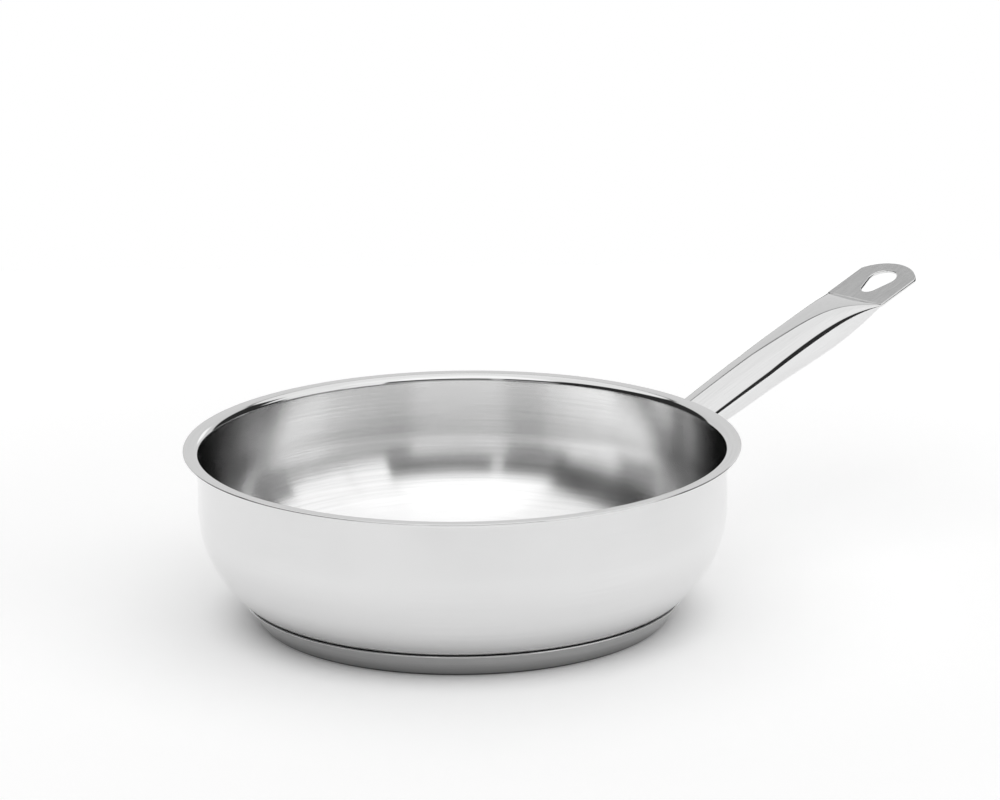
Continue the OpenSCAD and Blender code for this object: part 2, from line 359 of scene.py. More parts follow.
def join(first, second):
    """Joins the second piece to the first."""
    first.select_set(True)
    second.select_set(True)
    bpy.context.view_layer.objects.active = first
    bpy.ops.object.join()


def select_ring(obj, radius, height):
    """Selects the ring of a turned piece that lies at a radius and a height."""
    bpy.ops.object.mode_set(mode="OBJECT")
    for vertex in obj.data.vertices:
        aside = abs(hypot(vertex.co.x, vertex.co.y) - radius)
        above = abs(vertex.co.z - height)
        vertex.select = aside < SAME_PLACE and above < SAME_PLACE
    bpy.ops.object.mode_set(mode="EDIT")


def close_pole():
    """Draws the selected ring together into one point on the axis."""
    bpy.ops.mesh.extrude_edges_move()
    bpy.ops.mesh.merge(type="CENTER")


def turn(name, profile, smooth=None):
    """Raises a skin from a ring, one step after another along a profile of (radius, height).

    Both ends of the profile are closed with a pole."""
    first = profile[0]
    obj = start("circle", vertices=TURN_STEPS, radius=first.x, location=(0, 0, first.y))
    bpy.ops.object.transform_apply(location=True)
    bpy.ops.object.mode_set(mode="EDIT")
    bpy.ops.mesh.select_mode(type="VERT")
    bpy.ops.mesh.select_all(action="SELECT")
    for before, after in zip(profile, profile[1:]):
        bpy.ops.mesh.extrude_edges_move(
            TRANSFORM_OT_translate={"value": (0, 0, after.y - before.y)})
        share = after.x / before.x
        bpy.ops.transform.resize(value=(share, share, 1), center_override=(0, 0, 0))
    close_pole()
    select_ring(obj, first.x, first.y)
    close_pole()
    bpy.ops.mesh.select_all(action="SELECT")
    bpy.ops.mesh.normals_make_consistent(inside=False)
    finish_piece(obj, name, smooth)
    return obj


def roll(name, rows, columns, shape, closed=True):
    """Rolls a grid into a skin: shape gives the place for shares 0 to 1 along and round."""
    obj = start("grid", x_subdivisions=rows, y_subdivisions=columns, size=1)
    for vertex in obj.data.vertices:
        vertex.co = shape(vertex.co.x + 0.5, vertex.co.y + 0.5)
    edit_all()
    if closed:
        bpy.ops.mesh.remove_doubles(threshold=MERGE)
    return obj


def arc(centre, radius, begin, end):
    """Points of (radius, height) along an arc between two angles in degrees, ends included."""
    steps = max(int(abs(end - begin) / ARC_STEP), LEAST_ARC_STEPS)
    angles = [radians(begin + (end - begin) * i / steps) for i in range(steps + 1)]
    return [Vector((centre.x + radius * cos(a), centre.y + radius * sin(a))) for a in angles]


def line(begin, end, steps):
    """Points between two places, without the two ends."""
    return [begin.lerp(end, i / steps) for i in range(1, steps)]


def ease(x):
    """A smooth step from 0 to 1."""
    c = min(max(x, 0), 1)
    return c * c * (3 - 2 * c)


def signed_power(x, power):
    """A power that keeps the sign of x, for sections between an ellipse and a rounded bar."""
    return (1 if x > 0 else -1) * abs(x) ** power


# Shapes that several pieces share

class Bowl:
    """Arcs of the bowl's outer surface, worked out from its sizes."""

    def __init__(self, context):
        size = sizes(context, "bowl")
        self.sheet = size.sheet
        self.lip = size.lip_radius
        self.rim_w = size.lip_width
        self.side = size.side_radius
        self.heel = size.heel_radius
        self.angle = degrees(size.heel_angle)
        self.rim_z = size.rim_height
        self.floor_z = size.floor_height
        self.wall_r = size.rim_radius - size.lip_width - size.lip_radius - size.sheet / 2
        self.lip_z = size.rim_height - size.lip_radius - size.sheet
        step = self.side - self.heel
        self.side_c = Vector((self.wall_r - self.side, self.lip_z - size.wall_height))
        self.heel_c = Vector((
            self.side_c.x + step * cos(size.heel_angle),
            self.side_c.y - step * sin(size.heel_angle)))

    def face_r(self, z, out):
        """Radius of the surface that lies a distance out from the wall."""
        if z >= self.side_c.y:
            return self.wall_r + out
        return self.side_c.x + sqrt((self.side + out) ** 2 - (self.side_c.y - z) ** 2)


class Handle:
    """Sections of the handle, in its own frame of s along, y across and k square to the plate."""

    # Where the first full section stands, as a share of the root's height from the saddle
    RING_START = 0.6
    # How the width follows the pressing, and what the belly and the fold add to the power
    # of 2 of a plain ellipse
    WIDTH_POWER = 0.76
    BELLY_SQUARE = 0.3
    FOLD_SQUARE = 1.7
    # Highest value of p * p * (1 - p) for p from 0 to 1, by which the sag is scaled
    SAG_PEAK = 4 / 27
    MEET_TRIES = 8

    def __init__(self, context):
        self.bowl = Bowl(context)
        self.size = sizes(context, "handle")
        self.saddle = sizes(context, "saddle").sheet
        self.z = self.bowl.rim_z - self.size.drop
        self.plate = 2 * self.size.sheet
        self.fold = self.size.length - self.size.plate_length
        self.press = self.fold - self.size.press_length
        self.first = self.saddle + self.RING_START * self.size.root_height
        self.eye = self.size.length - self.size.eye_from_tip

    def to_pan(self, s, y, k):
        """Place in the pan's frame of a point of the handle's frame."""
        c, n = cos(self.size.tilt), sin(self.size.tilt)
        return Vector((self.bowl.wall_r + s * c - k * n, y, self.z + s * n + k * c))

    def pressed(self, s):
        """How far the pressing has gone: 0 at the belly, 1 at the fold."""
        return min(max((s - self.press) / self.size.press_length, 0), 1)

    def flattened(self, s):
        """Share of the tube's height that the pressing has taken."""
        return self.pressed(s) ** self.size.press_power

    def half_height(self, s):
        """Half the height of the section at s."""
        size = self.size
        grown = ease(s / size.belly_at)
        half = (size.root_height + (size.belly_height - size.root_height) * grown) / 2
        return self.plate / 2 + (half - self.plate / 2) * (1 - self.flattened(s))

    def half_width(self, s):
        """Half the width of the section at s."""
        size = self.size
        grown = ease(s / size.belly_at)
        half = (size.root_width + (size.belly_width - size.root_width) * grown) / 2
        return half + (size.plate_width / 2 - half) * self.flattened(s) ** self.WIDTH_POWER

    def section(self, s, turn_share, grow=0):
        """Point of the section at s, a share of a turn round, moved out by grow."""
        p = self.pressed(s)
        square = 2 + self.BELLY_SQUARE * ease(s / self.size.belly_at) + self.FOLD_SQUARE * p
        sag = self.size.press_sag * p * p * (1 - p) / self.SAG_PEAK
        a = 2 * pi * turn_share
        y = (self.half_width(s) + grow) * signed_power(cos(a), 2 / square)
        k = (self.half_height(s) + grow) * signed_power(sin(a), 2 / square)
        return y, k - sag

    def meet(self, y, k, out):
        """Distance s at which a line along the handle meets the surface out from the wall."""
        s = 0
        for _ in range(self.MEET_TRIES):
            point = self.to_pan(s, y, k)
            miss = self.bowl.face_r(point.z, out) - hypot(point.x, point.y)
            s += miss / cos(self.size.tilt)
        return s


# Nodes for the materials

class Tree:
    """A node tree with short calls to add and join nodes."""

    def __init__(self, tree):
        self.tree = tree

    def add(self, kind, inputs=None, **settings):
        """Adds a node, sets it, and gives its inputs values or links."""
        node = self.tree.nodes.new("ShaderNode" + kind)
        for key, value in settings.items():
            setattr(node, key, value)
        for key, value in (inputs or {}).items():
            if isinstance(value, bpy.types.NodeSocket):
                self.tree.links.new(value, node.inputs[key])
            else:
                node.inputs[key].default_value = value
        return node

    def math(self, operation, a, b=0.0, c=0.0):
        return self.add("Math", {0: a, 1: b, 2: c}, operation=operation).outputs[0]

    def length(self, place):
        return self.add("VectorMath", {0: place}, operation="LENGTH").outputs["Value"]

    def noise(self, place, scale, breakup):
        return self.add("TexNoise", {
            "Vector": place, "Scale": scale, "Detail": GRAIN_DETAIL, "Roughness": breakup,
        }).outputs["Fac"]

    def remap(self, value, low, high, out_low, out_high):
        """A straight slope from one pair of values to another, held at its ends."""
        return self.add("MapRange", {
            "Value": value, "From Min": low, "From Max": high,
            "To Min": out_low, "To Max": out_high,
        }).outputs[0]

    def step(self, value, low, high):
        """A smooth step from 0 at low to 1 at high."""
        return self.add("MapRange", {
            "Value": value, "From Min": low, "From Max": high,
        }, interpolation_type="SMOOTHSTEP").outputs[0]


def grain_group(name, lay, patch_scale):
    """A shader group of a fine grain and broad patches; lay gives the grain's own place."""
    if name in bpy.data.node_groups:
        return bpy.data.node_groups[name]
    group = bpy.data.node_groups.new(name, "ShaderNodeTree")
    for key, kind in (("Place", "Vector"), ("Pitch", "Float"), ("Run", "Float")):
        group.interface.new_socket(key, in_out="INPUT", socket_type="NodeSocket" + kind)
    for key in ("Grain", "Patches"):
        group.interface.new_socket(key, in_out="OUTPUT", socket_type="NodeSocketFloat")
    tree = Tree(group)
    given = group.nodes.new("NodeGroupInput").outputs
    wanted = group.nodes.new("NodeGroupOutput").inputs
    parts = tree.add("SeparateXYZ", {0: given["Place"]}).outputs
    grain_place = lay(tree, parts, given["Pitch"], given["Run"])
    group.links.new(tree.noise(grain_place, 1.0, GRAIN_BREAKUP), wanted["Grain"])
    patches = tree.noise(given["Place"], patch_scale, PATCH_BREAKUP)
    group.links.new(patches, wanted["Patches"])
    return group


def turned_grain():
    """Group: brushing that runs round the pan's axis, as a lathe and a belt leave it."""
    def lay(tree, parts, pitch, run):
        radius = tree.length(tree.add("CombineXYZ", {0: parts[0], 1: parts[1]}).outputs[0])
        angle = tree.math("ARCTAN2", parts[1], parts[0])
        along = tree.math("DIVIDE", tree.math("MULTIPLY", angle, radius), run)
        across = tree.math("DIVIDE", tree.math("SUBTRACT", parts[2], radius), pitch)
        return tree.add("CombineXYZ", {0: along, 1: across}).outputs[0]

    return grain_group("turned_grain", lay, 22.0)


def straight_grain():
    """Group: brushing that runs along X of the place it is given."""
    def lay(tree, parts, pitch, run):
        return tree.add("CombineXYZ", {
            0: tree.math("DIVIDE", parts[0], run),
            1: tree.math("DIVIDE", parts[1], pitch),
            2: tree.math("DIVIDE", parts[2], pitch),
        }).outputs[0]

    return grain_group("straight_grain", lay, 30.0)


def metal(name, colour, grain_nodes, tilt=0.0, painted_shade_fades=()):
    """A metal whose brushing changes its colour, its roughness and its relief.

    tilt turns the grain about Y. Each fade is painted shade: it multiplies the colour by a share
    that goes from one value at a low height to another at a higher one."""
    brush = BRUSHING[name]
    material = bpy.data.materials.new(name)
    material.use_nodes = True
    tree = Tree(material.node_tree)
    link = material.node_tree.links.new
    shader = material.node_tree.nodes["Principled BSDF"].inputs
    place_out = tree.add("TexCoord").outputs["Object"]
    if tilt:
        place_out = tree.add(
            "Mapping", {"Vector": place_out, "Rotation": (0, tilt, 0)}).outputs[0]
    grain = tree.add("Group", node_tree=grain_nodes)
    grain.inputs["Pitch"].default_value = brush.pitch
    grain.inputs["Run"].default_value = brush.run
    link(place_out, grain.inputs["Place"])
    shade = tree.remap(
        grain.outputs["Grain"], NOISE_LOW, NOISE_HIGH, 1 - brush.mottle, 1 + brush.mottle)
    # Painted shade: each fade darkens the colour by height
    for fade in painted_shade_fades:
        height = tree.add("SeparateXYZ", {0: place_out}).outputs[2]
        shade = tree.math("MULTIPLY", shade, tree.remap(height, *fade))
    tint = tree.add("Mix", {"Factor": 1.0}, data_type="RGBA", blend_type="MULTIPLY")
    tint.inputs["A"].default_value = (*colour, 1)
    link(shade, tint.inputs["B"])
    link(tint.outputs["Result"], shader["Base Color"])
    roughness = tree.remap(
        grain.outputs["Patches"], NOISE_LOW, NOISE_HIGH,
        brush.rough - brush.spread, brush.rough + brush.spread)
    link(roughness, shader["Roughness"])
    bump = tree.add("Bump", {
        "Strength": 1.0, "Distance": brush.depth, "Height": grain.outputs["Grain"]})
    link(bump.outputs[0], shader["Normal"])
    shader["Metallic"].default_value = 1.0
    shader["Specular Tint"].default_value = (brush.edge, brush.edge, brush.edge, 1)
    if brush.turned:
        quarter_turn = 0.25
        shader["Anisotropic"].default_value = brush.turned
        shader["Anisotropic Rotation"].default_value = quarter_turn
        tangent = tree.add("Tangent", direction_type="RADIAL", axis="Z")
        link(tangent.outputs[0], shader["Tangent"])
    return material


# Operators, one for each piece

class SAUCIER_OT_bowl(bpy.types.Operator):
    """Raises the drawn bowl with its flared pouring lip"""
    bl_idname = "saucier.bowl"
    bl_label = "Bowl"

    FLOOR_RINGS = 24
    WALL_RINGS = 14
    RIM_RINGS = 6
    INSIDE = 1
    LIP = 2
    # Shares of a face's normal, out from the axis and up, that mark the inside
    INWARD = -0.01
    UPWARD = 0.5

    def execute(self, context):
        bowl = Bowl(context)
        t = bowl.sheet
        wall_foot = bowl.side_c.y
        inner_r = bowl.wall_r - t
        lip_c = Vector((bowl.wall_r + bowl.lip, bowl.lip_z))
        edge_c = Vector((lip_c.x + bowl.rim_w, bowl.rim_z - t / 2))
        under = Vector((lip_c.x, bowl.rim_z - t))
        over = Vector((lip_c.x, bowl.rim_z))
        bottom = Vector((bowl.heel_c.x, bowl.floor_z))
        inner_bottom = Vector((bowl.heel_c.x, bowl.floor_z + t))
        centre = Vector((POLE_RING, bowl.floor_z))
        inner_centre = Vector((POLE_RING, bowl.floor_z + t))
        wall = [Vector((bowl.wall_r, wall_foot)), Vector((bowl.wall_r, bowl.lip_z))]
        inner_wall = [Vector((inner_r, bowl.lip_z)), Vector((inner_r, wall_foot))]
        outer = (
            [centre] + line(centre, bottom, self.FLOOR_RINGS)
            + arc(bowl.heel_c, bowl.heel, -90, -bowl.angle)
            + arc(bowl.side_c, bowl.side, -bowl.angle, 0)[1:]
            + line(*wall, self.WALL_RINGS)
            + arc(lip_c, bowl.lip, 180, 90)
            + line(under, edge_c - Vector((0, t / 2)), self.RIM_RINGS)
        )
        edge = arc(edge_c, t / 2, -90, 90)
        inner = (
            line(edge_c + Vector((0, t / 2)), over, self.RIM_RINGS)
            + arc(lip_c, bowl.lip + t, 90, 180)
            + line(*inner_wall, self.WALL_RINGS)
            + arc(bowl.side_c, bowl.side - t, 0, -bowl.angle)
            + arc(bowl.heel_c, bowl.heel - t, -bowl.angle, -90)[1:]
            + line(inner_bottom, inner_centre, self.FLOOR_RINGS) + [inner_centre]
        )
        obj = turn("bowl", outer + edge + inner)
        finish = sizes(context, "finish")
        grain = turned_grain()
        dress(
            obj,
            metal("satin_outside", finish.steel, grain),
            metal("brushed_inside", finish.inside, grain),
            metal("polished_lip", finish.steel, grain))
        for face in obj.data.polygons:
            away = Vector((face.center.x, face.center.y, 0)).normalized()
            if face.center.z > bowl.lip_z:
                face.material_index = self.LIP
            elif away.dot(face.normal) < self.INWARD or face.normal.z > self.UPWARD:
                face.material_index = self.INSIDE
        place(obj, "bowl", "bowl_steel", "pan_body")
        return {"FINISHED"}


class SAUCIER_OT_capsule(bpy.types.Operator):
    """Raises the steel capsule that wraps the core under the bowl"""
    bl_idname = "saucier.capsule"
    bl_label = "Capsule"

    SOLE_RINGS = 20
    SIDE_RINGS = 10
    INSIDE_RINGS = 6
    LIP = 1
    SOLE = 2
    # A low and a high height, in metres, and the share of the colour at each: painted shade that
    # darkens the side towards its foot, and most of all just above the floor, in place of the
    # floor's shadow that it reflects
    PAINTED_SHADE_FADES = ((0.0, 0.007, 0.62, 1.06), (0.0006, 0.0012, 0.3, 1.0))

    def execute(self, context):
        size = sizes(context, "capsule")
        foot = size.lip_radius - size.flare
        slant = atan2(size.height, size.flare)
        inset = size.sheet / sin(slant)
        lean = degrees(slant)

        def side(z, inward):
            """Point on the slanted side at a height, moved in along the radius."""
            return Vector((foot + size.flare * z / size.height - inward, z))

        ease_r = size.foot_round
        heel = Vector((side(ease_r, 0).x - ease_r / sin(slant), ease_r))
        lip_r = size.lip_round
        top = size.height
        outer_c = side(top - lip_r, lip_r / sin(slant))
        inner_c = side(top - lip_r, inset - lip_r / sin(slant))
        start_low = Vector((POLE_RING, 0))
        start_high = Vector((POLE_RING, size.sheet))
        foot_low = Vector((heel.x, 0))
        inside_foot = side(size.sheet, inset)
        outer_begin = heel + ease_r * Vector((sin(slant), -cos(slant)))
        outer_end = outer_c + lip_r * Vector((sin(slant), -cos(slant)))
        profile = (
            [start_low] + line(start_low, foot_low, self.SOLE_RINGS)
            + arc(heel, ease_r, -90, lean - 90)
            + line(outer_begin, outer_end, self.SIDE_RINGS)
            + arc(outer_c, lip_r, lean - 90, 90)
            + arc(inner_c, lip_r, 90, lean + 90)
            + [side(size.sheet + lip_r, inset), inside_foot]
            + line(inside_foot, start_high, self.INSIDE_RINGS) + [start_high]
        )
        obj = turn("capsule", profile, SMOOTH_ANGLE)
        finish = sizes(context, "finish")
        grain = turned_grain()
        dress(
            obj,
            # The capsule's side gets painted shade towards its foot
            metal("capsule_steel", finish.capsule, grain, painted_shade_fades=self.PAINTED_SHADE_FADES),
            metal("capsule_lip", finish.steel, grain),
            metal("capsule_sole", finish.steel, grain))
        for face in obj.data.polygons:
            if face.center.z > top - lip_r and hypot(*face.center.xy) > inner_c.x + lip_r:
                face.material_index = self.LIP
            elif face.normal.z < -LEVEL:
                face.material_index = self.SOLE
        place(obj, "capsule", "cap_steel", "base_cap")
        return {"FINISHED"}


class SAUCIER_OT_handle(bpy.types.Operator):
    """Rolls the tube of the handle and cuts its flat eye plate"""
    bl_idname = "saucier.handle"
    bl_label = "Handle"

    # How closely the stations crowd towards the fold; 1 is even
    CROWDING = 1.3
    # Rounding of the plate's edges, and the gap between the tube and the saddle, in metres
    PLATE_EDGE = 0.0004
    SEAT = 0.00005
    # Edges are rounded where they turn by more than the first angle, and then stay sharp
    # where they turn by more than the second, in degrees
    EDGE_ANGLE = 40
    PLATE_SMOOTH = 60

    def tube(self, handle):
        """The tube from its coped root to the fold."""
        half_station = 1 / TUBE_STATIONS / 2

        def shape(along, turn_share):
            if along < half_station:
                y, k = handle.section(0, turn_share)
                return handle.to_pan(handle.meet(y, k, handle.saddle + self.SEAT), y, k)
            share = (along * TUBE_STATIONS - 1) / (TUBE_STATIONS - 1)
            gone = 1 - (1 - share) ** self.CROWDING
            s = handle.first + (handle.fold - handle.first) * gone
            y, k = handle.section(s, turn_share)
            return handle.to_pan(s, y, k)

        obj = roll("tube", TUBE_STATIONS, TUBE_RING, shape)
        bpy.ops.mesh.select_all(action="DESELECT")
        bpy.ops.mesh.select_non_manifold()
        bpy.ops.mesh.fill_holes(sides=0)
        bpy.ops.mesh.select_all(action="SELECT")
        bpy.ops.mesh.normals_make_consistent(inside=False)
        finish_piece(obj, "tube", SMOOTH_ANGLE)
        return obj

    def outline_reach(self, handle, angle):
        """How far the plate's outline lies from the eye's centre, at an angle from the tip."""
        size = handle.size
        dx, dy = cos(angle), sin(angle)
        reach = size.length
        if dx < 0:
            reach = min(reach, (handle.eye - handle.fold) / -dx)
        if dy:
            reach = min(reach, size.plate_width / 2 / abs(dy))
        offset = size.length - size.tip_radius - handle.eye
        along = offset * dx
        inside = size.tip_radius ** 2 - offset ** 2 + along ** 2
        if inside > 0 and offset + size.tip_radius > 0:
            arc_reach = along + sqrt(inside)
            if arc_reach * dx > offset:
                reach = min(reach, arc_reach)
        return reach

    def eye_reach(self, handle, angle):
        """How far the eye's edge lies from the centre of its wide end."""
        size = handle.size
        lean = acos((size.eye_radius - size.eye_narrow) / size.eye_span)
        turned = abs(atan2(sin(angle), cos(angle)))
        if turned <= pi - lean:
            return size.eye_radius
        across = cos(turned - (pi - lean))
        reach = size.eye_radius / across
        narrow = Vector((-size.eye_span, 0))
        along = narrow.x * cos(turned)
        inside = size.eye_narrow ** 2 - size.eye_span ** 2 + along ** 2
        if inside > 0:
            far = along + sqrt(inside)
            touch = narrow.x - size.eye_narrow * cos(lean)
            if far * cos(turned) < touch or reach * cos(turned) < touch:
                return min(reach, far)
        return reach

    def plate(self, handle):
        """The flat plate with its hanging eye."""
        rings = []
        for reach in (self.eye_reach, self.outline_reach):
            obj = start("circle", vertices=EYE_STEPS, radius=1)
            for vertex in obj.data.vertices:
                a = atan2(vertex.co.y, vertex.co.x)
                r = reach(handle, a)
                vertex.co = Vector((handle.eye + r * cos(a), r * sin(a), 0))
            rings.append(obj)
        obj = rings[0]
        join(*rings)
        edit_all()
        bpy.ops.mesh.bridge_edge_loops()
        bpy.ops.mesh.normals_make_consistent(inside=False)
        bpy.ops.object.mode_set(mode="OBJECT")
        apply(obj, "SOLIDIFY", thickness=handle.plate, offset=0)
        soften(obj, self.PLATE_EDGE, self.EDGE_ANGLE)
        for face in obj.data.polygons:
            face.material_index = int(abs(face.normal.z) < LEVEL)
        for vertex in obj.data.vertices:
            vertex.co = handle.to_pan(*vertex.co)
        edit_all()
        bpy.ops.mesh.normals_make_consistent(inside=False)
        finish_piece(obj, "plate", radians(self.PLATE_SMOOTH))
        apply(obj, "WEIGHTED_NORMAL", keep_sharp=True)
        return obj

    def execute(self, context):
        handle = Handle(context)
        finish = sizes(context, "finish")
        grain = straight_grain()
        tilt = handle.size.tilt
        tube = self.tube(handle)
        dress(tube, metal("polished_tube", finish.steel, grain, tilt))
        plate = self.plate(handle)
        dress(
            plate,
            metal("brushed_plate", finish.plate, grain, tilt),
            metal("polished_edge", finish.steel, grain, tilt))
        join(tube, plate)
        tube.name = "handle"
        place(tube, "handle", "handle_steel", "handle_tube")
        return {"FINISHED"}


class SAUCIER_OT_saddle(bpy.types.Operator):
    """Presses the saddle plate that carries the handle on the wall"""
    bl_idname = "saucier.saddle"
    bl_label = "Saddle"

    ROWS = 96
    COLUMNS = 72
    # Rounding of the plate's edges, where they turn by more than so many degrees
    EDGE = 0.0003
    EDGE_ANGLE = 50
    # Gap between the plate and the wall, in metres
    LIFT = 0.00002
    # Share of a dimple's radius that is at full depth, and how steeply it rises from there
    DIMPLE_FLAT = 0.4
    DIMPLE_SLOPE = 1.6
    TINY = 1e-9

    def rim_reach(self, size, angle):
        """How far the plate's rounded outline lies from its centre, at an angle."""
        half_w, half_h, r = size.width / 2, size.height / 2, size.corner
        dx, dy = abs(cos(angle)), abs(sin(angle))
        sides = ((half_w, dx), (half_h, dy))
        reach = min(half / share for half, share in sides if share > self.TINY)
        corner = Vector((half_w - r, half_h - r))
        if reach * dx > corner.x and reach * dy > corner.y:
            along = corner.x * dx + corner.y * dy
            reach = along + sqrt(max(r * r - corner.length_squared + along * along, 0))
        return reach

    def execute(self, context):
        size = sizes(context, "saddle")
        handle = Handle(context)
        bowl = handle.bowl
        dimples = [
            Vector((side * (size.width / 2 - size.dimple), up * (size.height / 2 - size.dimple)))
            for side in (-1, 1) for up in (-1, 1)]

        def shape(along, across):
            u, v = 2 * along - 1, 2 * across - 1
            share = max(abs(u), abs(v))
            angle = atan2(v * size.height, u * size.width) if share else 0
            flat = share * self.rim_reach(size, angle) * Vector((cos(angle), sin(angle)))
            sunk = 0
            for dimple in dimples:
                reach = (flat - dimple).length / (size.dimple / 2)
                risen = ease(self.DIMPLE_SLOPE * (reach - self.DIMPLE_FLAT))
                sunk += size.dimple_depth * (1 - risen)
            z = handle.z + flat.y
            face = bowl.face_r(z, size.sheet) - sunk
            turned = asin(flat.x / face)
            return Vector((face * cos(turned), face * sin(turned), z))

        obj = roll("saddle", self.ROWS, self.COLUMNS, shape, closed=False)
        bpy.ops.mesh.normals_make_consistent(inside=False)
        bpy.ops.object.mode_set(mode="OBJECT")
        middle = min(
            obj.data.polygons,
            key=lambda face: abs(face.center.y) + abs(face.center.z - handle.z))
        if middle.normal.x < 0:
            bpy.ops.object.mode_set(mode="EDIT")
            bpy.ops.mesh.flip_normals()
            bpy.ops.object.mode_set(mode="OBJECT")
        apply(obj, "SOLIDIFY", thickness=size.sheet - self.LIFT, offset=-1)
        soften(obj, self.EDGE, self.EDGE_ANGLE)
        finish_piece(obj, "saddle", SMOOTH_ANGLE)
        dress(obj, metal("saddle_steel", sizes(context, "finish").steel, turned_grain()))
        place(obj, "saddle", "saddle_steel", "handle_saddle")
        return {"FINISHED"}


class SAUCIER_OT_weld(bpy.types.Operator):
    """Lays the rippled weld bead round the handle's root"""
    bl_idname = "saucier.weld"
    bl_label = "Weld bead"

    ROUND = 720
    ACROSS = 28
    RIPPLES = 60
    RIPPLE_DEPTH = 0.00012
    # How far the bead stands proud, as a share of its leg
    BULGE = 0.1
    # Gap between the bead and the saddle, in metres
    FIT = 0.00005
    # Edges that turn by more than so many degrees stay sharp
    SMOOTH = 50

    def execute(self, context):
        handle = Handle(context)
        leg = sizes(context, "saddle").weld

        def shape(along, across):
            """Round the bead: its rippled face over half the turn, then its two legs."""
            ripple = self.RIPPLE_DEPTH * abs(sin(pi * self.RIPPLES * along))
            if across <= 0.5:
                bulge = sin(2 * pi * across) * (self.BULGE * leg - ripple)
                out = leg * (1 - 2 * across) + bulge
                rise = leg * 2 * across + bulge
            else:
                back = 2 * (across - 0.5)
                out = leg * max(0, 2 * back - 1)
                rise = leg * max(0, 1 - 2 * back)
            y, k = handle.section(0, along, out)
            return handle.to_pan(handle.meet(y, k, handle.saddle + self.FIT) + rise, y, k)

        obj = roll("weld", self.ROUND, self.ACROSS, shape)
        bpy.ops.mesh.normals_make_consistent(inside=False)
        finish_piece(obj, "weld", radians(self.SMOOTH))
        dress(obj, metal("weld_metal", sizes(context, "finish").capsule, straight_grain()))
        place(obj, "weld", "weld_metal", "handle_weld")
        return {"FINISHED"}


class SAUCIER_OT_base_layers(bpy.types.Operator):
    """Finishes the aluminium core and the brazing films inside the base"""
    bl_idname = "saucier.base_layers"
    bl_label = "Base layers"

    def execute(self, context):
        finish = sizes(context, "finish")
        grain = turned_grain()
        aluminium = metal("core_aluminium", finish.aluminium, grain)
        braze = metal("brazing_film", finish.braze, grain)
        layers = {"base_core": aluminium, "upper_braze": braze, "lower_braze": braze}
        for name, material in layers.items():
            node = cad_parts[name]
            node.data.materials.clear()
            dress(node, material)
        return {"FINISHED"}


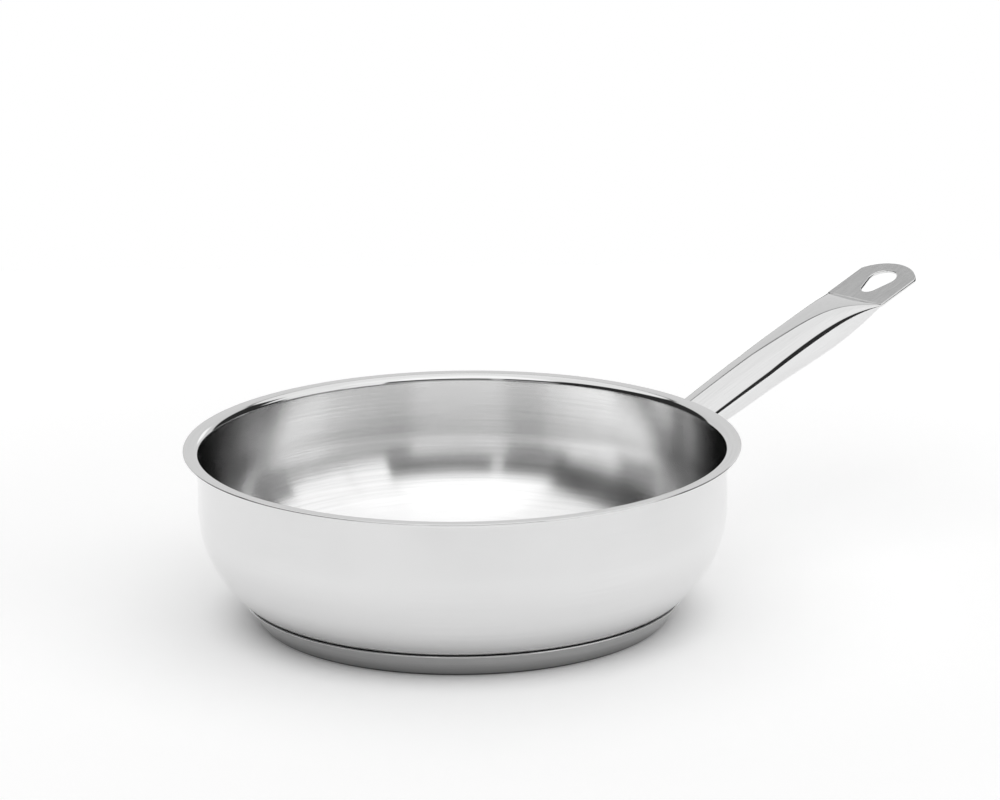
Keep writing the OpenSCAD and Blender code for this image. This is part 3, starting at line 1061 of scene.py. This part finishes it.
class SAUCIER_OT_stage(bpy.types.Operator):
    """Sets the floor, the soft light and the camera"""
    bl_idname = "saucier.stage"
    bl_label = "Stage"

    FLOOR_SIZE = 1.3
    FLOOR_Z = -0.0001
    FLOOR_CUTS = 3
    # The floor's own light rises twice: a near and a far distance from the pan's axis, in metres,
    # and the strength at each. Kept low near the pan, it leaves a painted shade round the foot,
    # which the metals reflect too
    GLOW_STEPS = ((0.090, 0.120, 0.05, 0.24), (0.30, 0.60, 0.0, 0.06))
    # The camera as solved from the ellipses of the rim, the wall and the base, with its
    # lens and sensor in millimetres
    CAMERA_PLACE = Vector((-1.6478, -1.7206, 0.7641))
    CAMERA_HEADING = radians(44.184)
    CAMERA_PITCH = radians(15.561)
    CAMERA_ROLL = radians(-0.595)
    CAMERA_LENS = 195.39
    SENSOR_WIDTH = 36.0
    CLIP_END = 50.0

    def floor(self, context):
        """A floor that takes shadows and whose own light lifts it to the backdrop's white."""
        obj = start("plane", size=self.FLOOR_SIZE, location=(0, 0, self.FLOOR_Z),
                    rotation=(0, 0, -self.CAMERA_HEADING))
        edit_all()
        bpy.ops.mesh.subdivide(number_cuts=self.FLOOR_CUTS)
        finish_piece(obj, "floor")
        material = bpy.data.materials.new("studio_floor")
        material.use_nodes = True
        tree = Tree(material.node_tree)
        nodes = material.node_tree.nodes
        nodes.remove(nodes["Principled BSDF"])
        sink = nodes["Material Output"]
        rays = tree.add("LightPath").outputs
        shown = tree.math("MAXIMUM", rays["Is Camera Ray"], rays["Is Glossy Ray"])
        shown = tree.math("MAXIMUM", shown, rays["Is Transmission Ray"])
        diffuse = tree.add("BsdfDiffuse", {"Color": (*sizes(context, "finish").floor, 1)})
        away = tree.length(tree.add("TexCoord").outputs["Object"])
        # Weak glow near the pan: painted shade round its foot, on top of the real shadow
        near, far = [tree.remap(away, *step) for step in self.GLOW_STEPS]
        rise = tree.math("ADD", near, far)
        glow = tree.add("Emission", {"Strength": tree.math("MULTIPLY", shown, rise)})
        both = tree.add("AddShader", {0: diffuse.outputs[0], 1: glow.outputs[0]})
        material.node_tree.links.new(both.outputs[0], sink.inputs["Surface"])
        dress(obj, material)

    def world(self, context):
        """Soft boxes on a dark studio for light and reflections, and plain white behind."""
        world = context.scene.world or bpy.data.worlds.new("studio")
        context.scene.world = world
        world.use_nodes = True
        world.node_tree.nodes.clear()
        tree = Tree(world.node_tree)
        rays = tree.add("LightPath").outputs
        direction = tree.add("TexCoord").outputs["Generated"]
        parts = tree.add("SeparateXYZ", {0: direction}).outputs
        elevation = tree.math("DEGREES", tree.math("ARCSINE", parts[2]))
        azimuth = tree.math("DEGREES", tree.math("ARCTAN2", parts[0], parts[1]))
        light = None
        for panel in STUDIO_PANELS:
            glow = self.panel(tree, azimuth, elevation, *panel)
            light = tree.math("MAXIMUM", light, glow) if light else glow
        seen = tree.add("Mix", {"Factor": rays["Is Camera Ray"]}, data_type="FLOAT")
        world.node_tree.links.new(light, seen.inputs["A"])
        seen.inputs["B"].default_value = 1.0
        shade = tree.add("Background", {
            "Color": (1, 1, 1, 1), "Strength": seen.outputs["Result"]})
        sink = tree.add("OutputWorld")
        world.node_tree.links.new(shade.outputs[0], sink.inputs["Surface"])

    def panel(self, tree, azimuth, elevation, middle, half, soft, low, low_soft,
              high, high_soft, radiance):
        """Light of one soft box, as a mask of azimuth and elevation in degrees."""
        heading = middle + degrees(self.CAMERA_HEADING)
        turned = tree.math("WRAP", tree.math("SUBTRACT", azimuth, heading), 180.0, -180.0)
        aside = tree.math("ABSOLUTE", turned)
        sides = tree.step(aside, half + soft, half - soft)
        above = tree.step(elevation, low - low_soft, low + low_soft)
        below = tree.step(elevation, high + high_soft, high - high_soft)
        mask = tree.math("MULTIPLY", tree.math("MULTIPLY", sides, above), below)
        return tree.math("MULTIPLY", mask, radiance)

    def camera(self, context):
        """The photograph's camera."""
        data = bpy.data.cameras.new("camera")
        data.lens = self.CAMERA_LENS
        data.sensor_width = self.SENSOR_WIDTH
        data.clip_end = self.CLIP_END
        obj = bpy.data.objects.new("camera", data)
        context.scene.collection.objects.link(obj)
        turned = (
            Matrix.Rotation(-self.CAMERA_HEADING, 4, "Z")
            @ Matrix.Rotation(pi / 2 - self.CAMERA_PITCH, 4, "X")
            @ Matrix.Rotation(self.CAMERA_ROLL, 4, "Z"))
        obj.matrix_world = Matrix.Translation(self.CAMERA_PLACE) @ turned
        context.scene.camera = obj

    def execute(self, context):
        self.floor(context)
        self.world(context)
        self.camera(context)
        context.scene.view_settings.view_transform = "Standard"
        return {"FINISHED"}


class SAUCIER_PT_pieces(bpy.types.Panel):
    """Lists the operators that build the pan"""
    bl_idname = "SAUCIER_PT_pieces"
    bl_label = "Saucier pan"
    bl_space_type = "VIEW_3D"
    bl_region_type = "UI"
    bl_category = "Saucier"

    def draw(self, context):
        for operator in OPERATORS:
            self.layout.operator(operator.bl_idname)
        for group in GROUPS:
            box = self.layout.box()
            box.label(text=group.title())
            settings = sizes(context, group)
            for key in GROUPS[group].__annotations__:
                box.prop(settings, key)


OPERATORS = [
    SAUCIER_OT_stage,
    SAUCIER_OT_bowl,
    SAUCIER_OT_capsule,
    SAUCIER_OT_base_layers,
    SAUCIER_OT_saddle,
    SAUCIER_OT_handle,
    SAUCIER_OT_weld,
]
CLASSES = [*GROUPS.values(), *OPERATORS, SAUCIER_PT_pieces]


def register():
    for cls in CLASSES:
        bpy.utils.register_class(cls)
    for name, cls in GROUPS.items():
        setattr(bpy.types.Scene, "saucier_" + name, bpy.props.PointerProperty(type=cls))


def unregister():
    for name in GROUPS:
        delattr(bpy.types.Scene, "saucier_" + name)
    for cls in reversed(CLASSES):
        bpy.utils.unregister_class(cls)


def main():
    register()
    for operator in OPERATORS:
        group, name = operator.bl_idname.split(".")
        getattr(getattr(bpy.ops, group), name)()


if __name__ == "__main__":
    main()
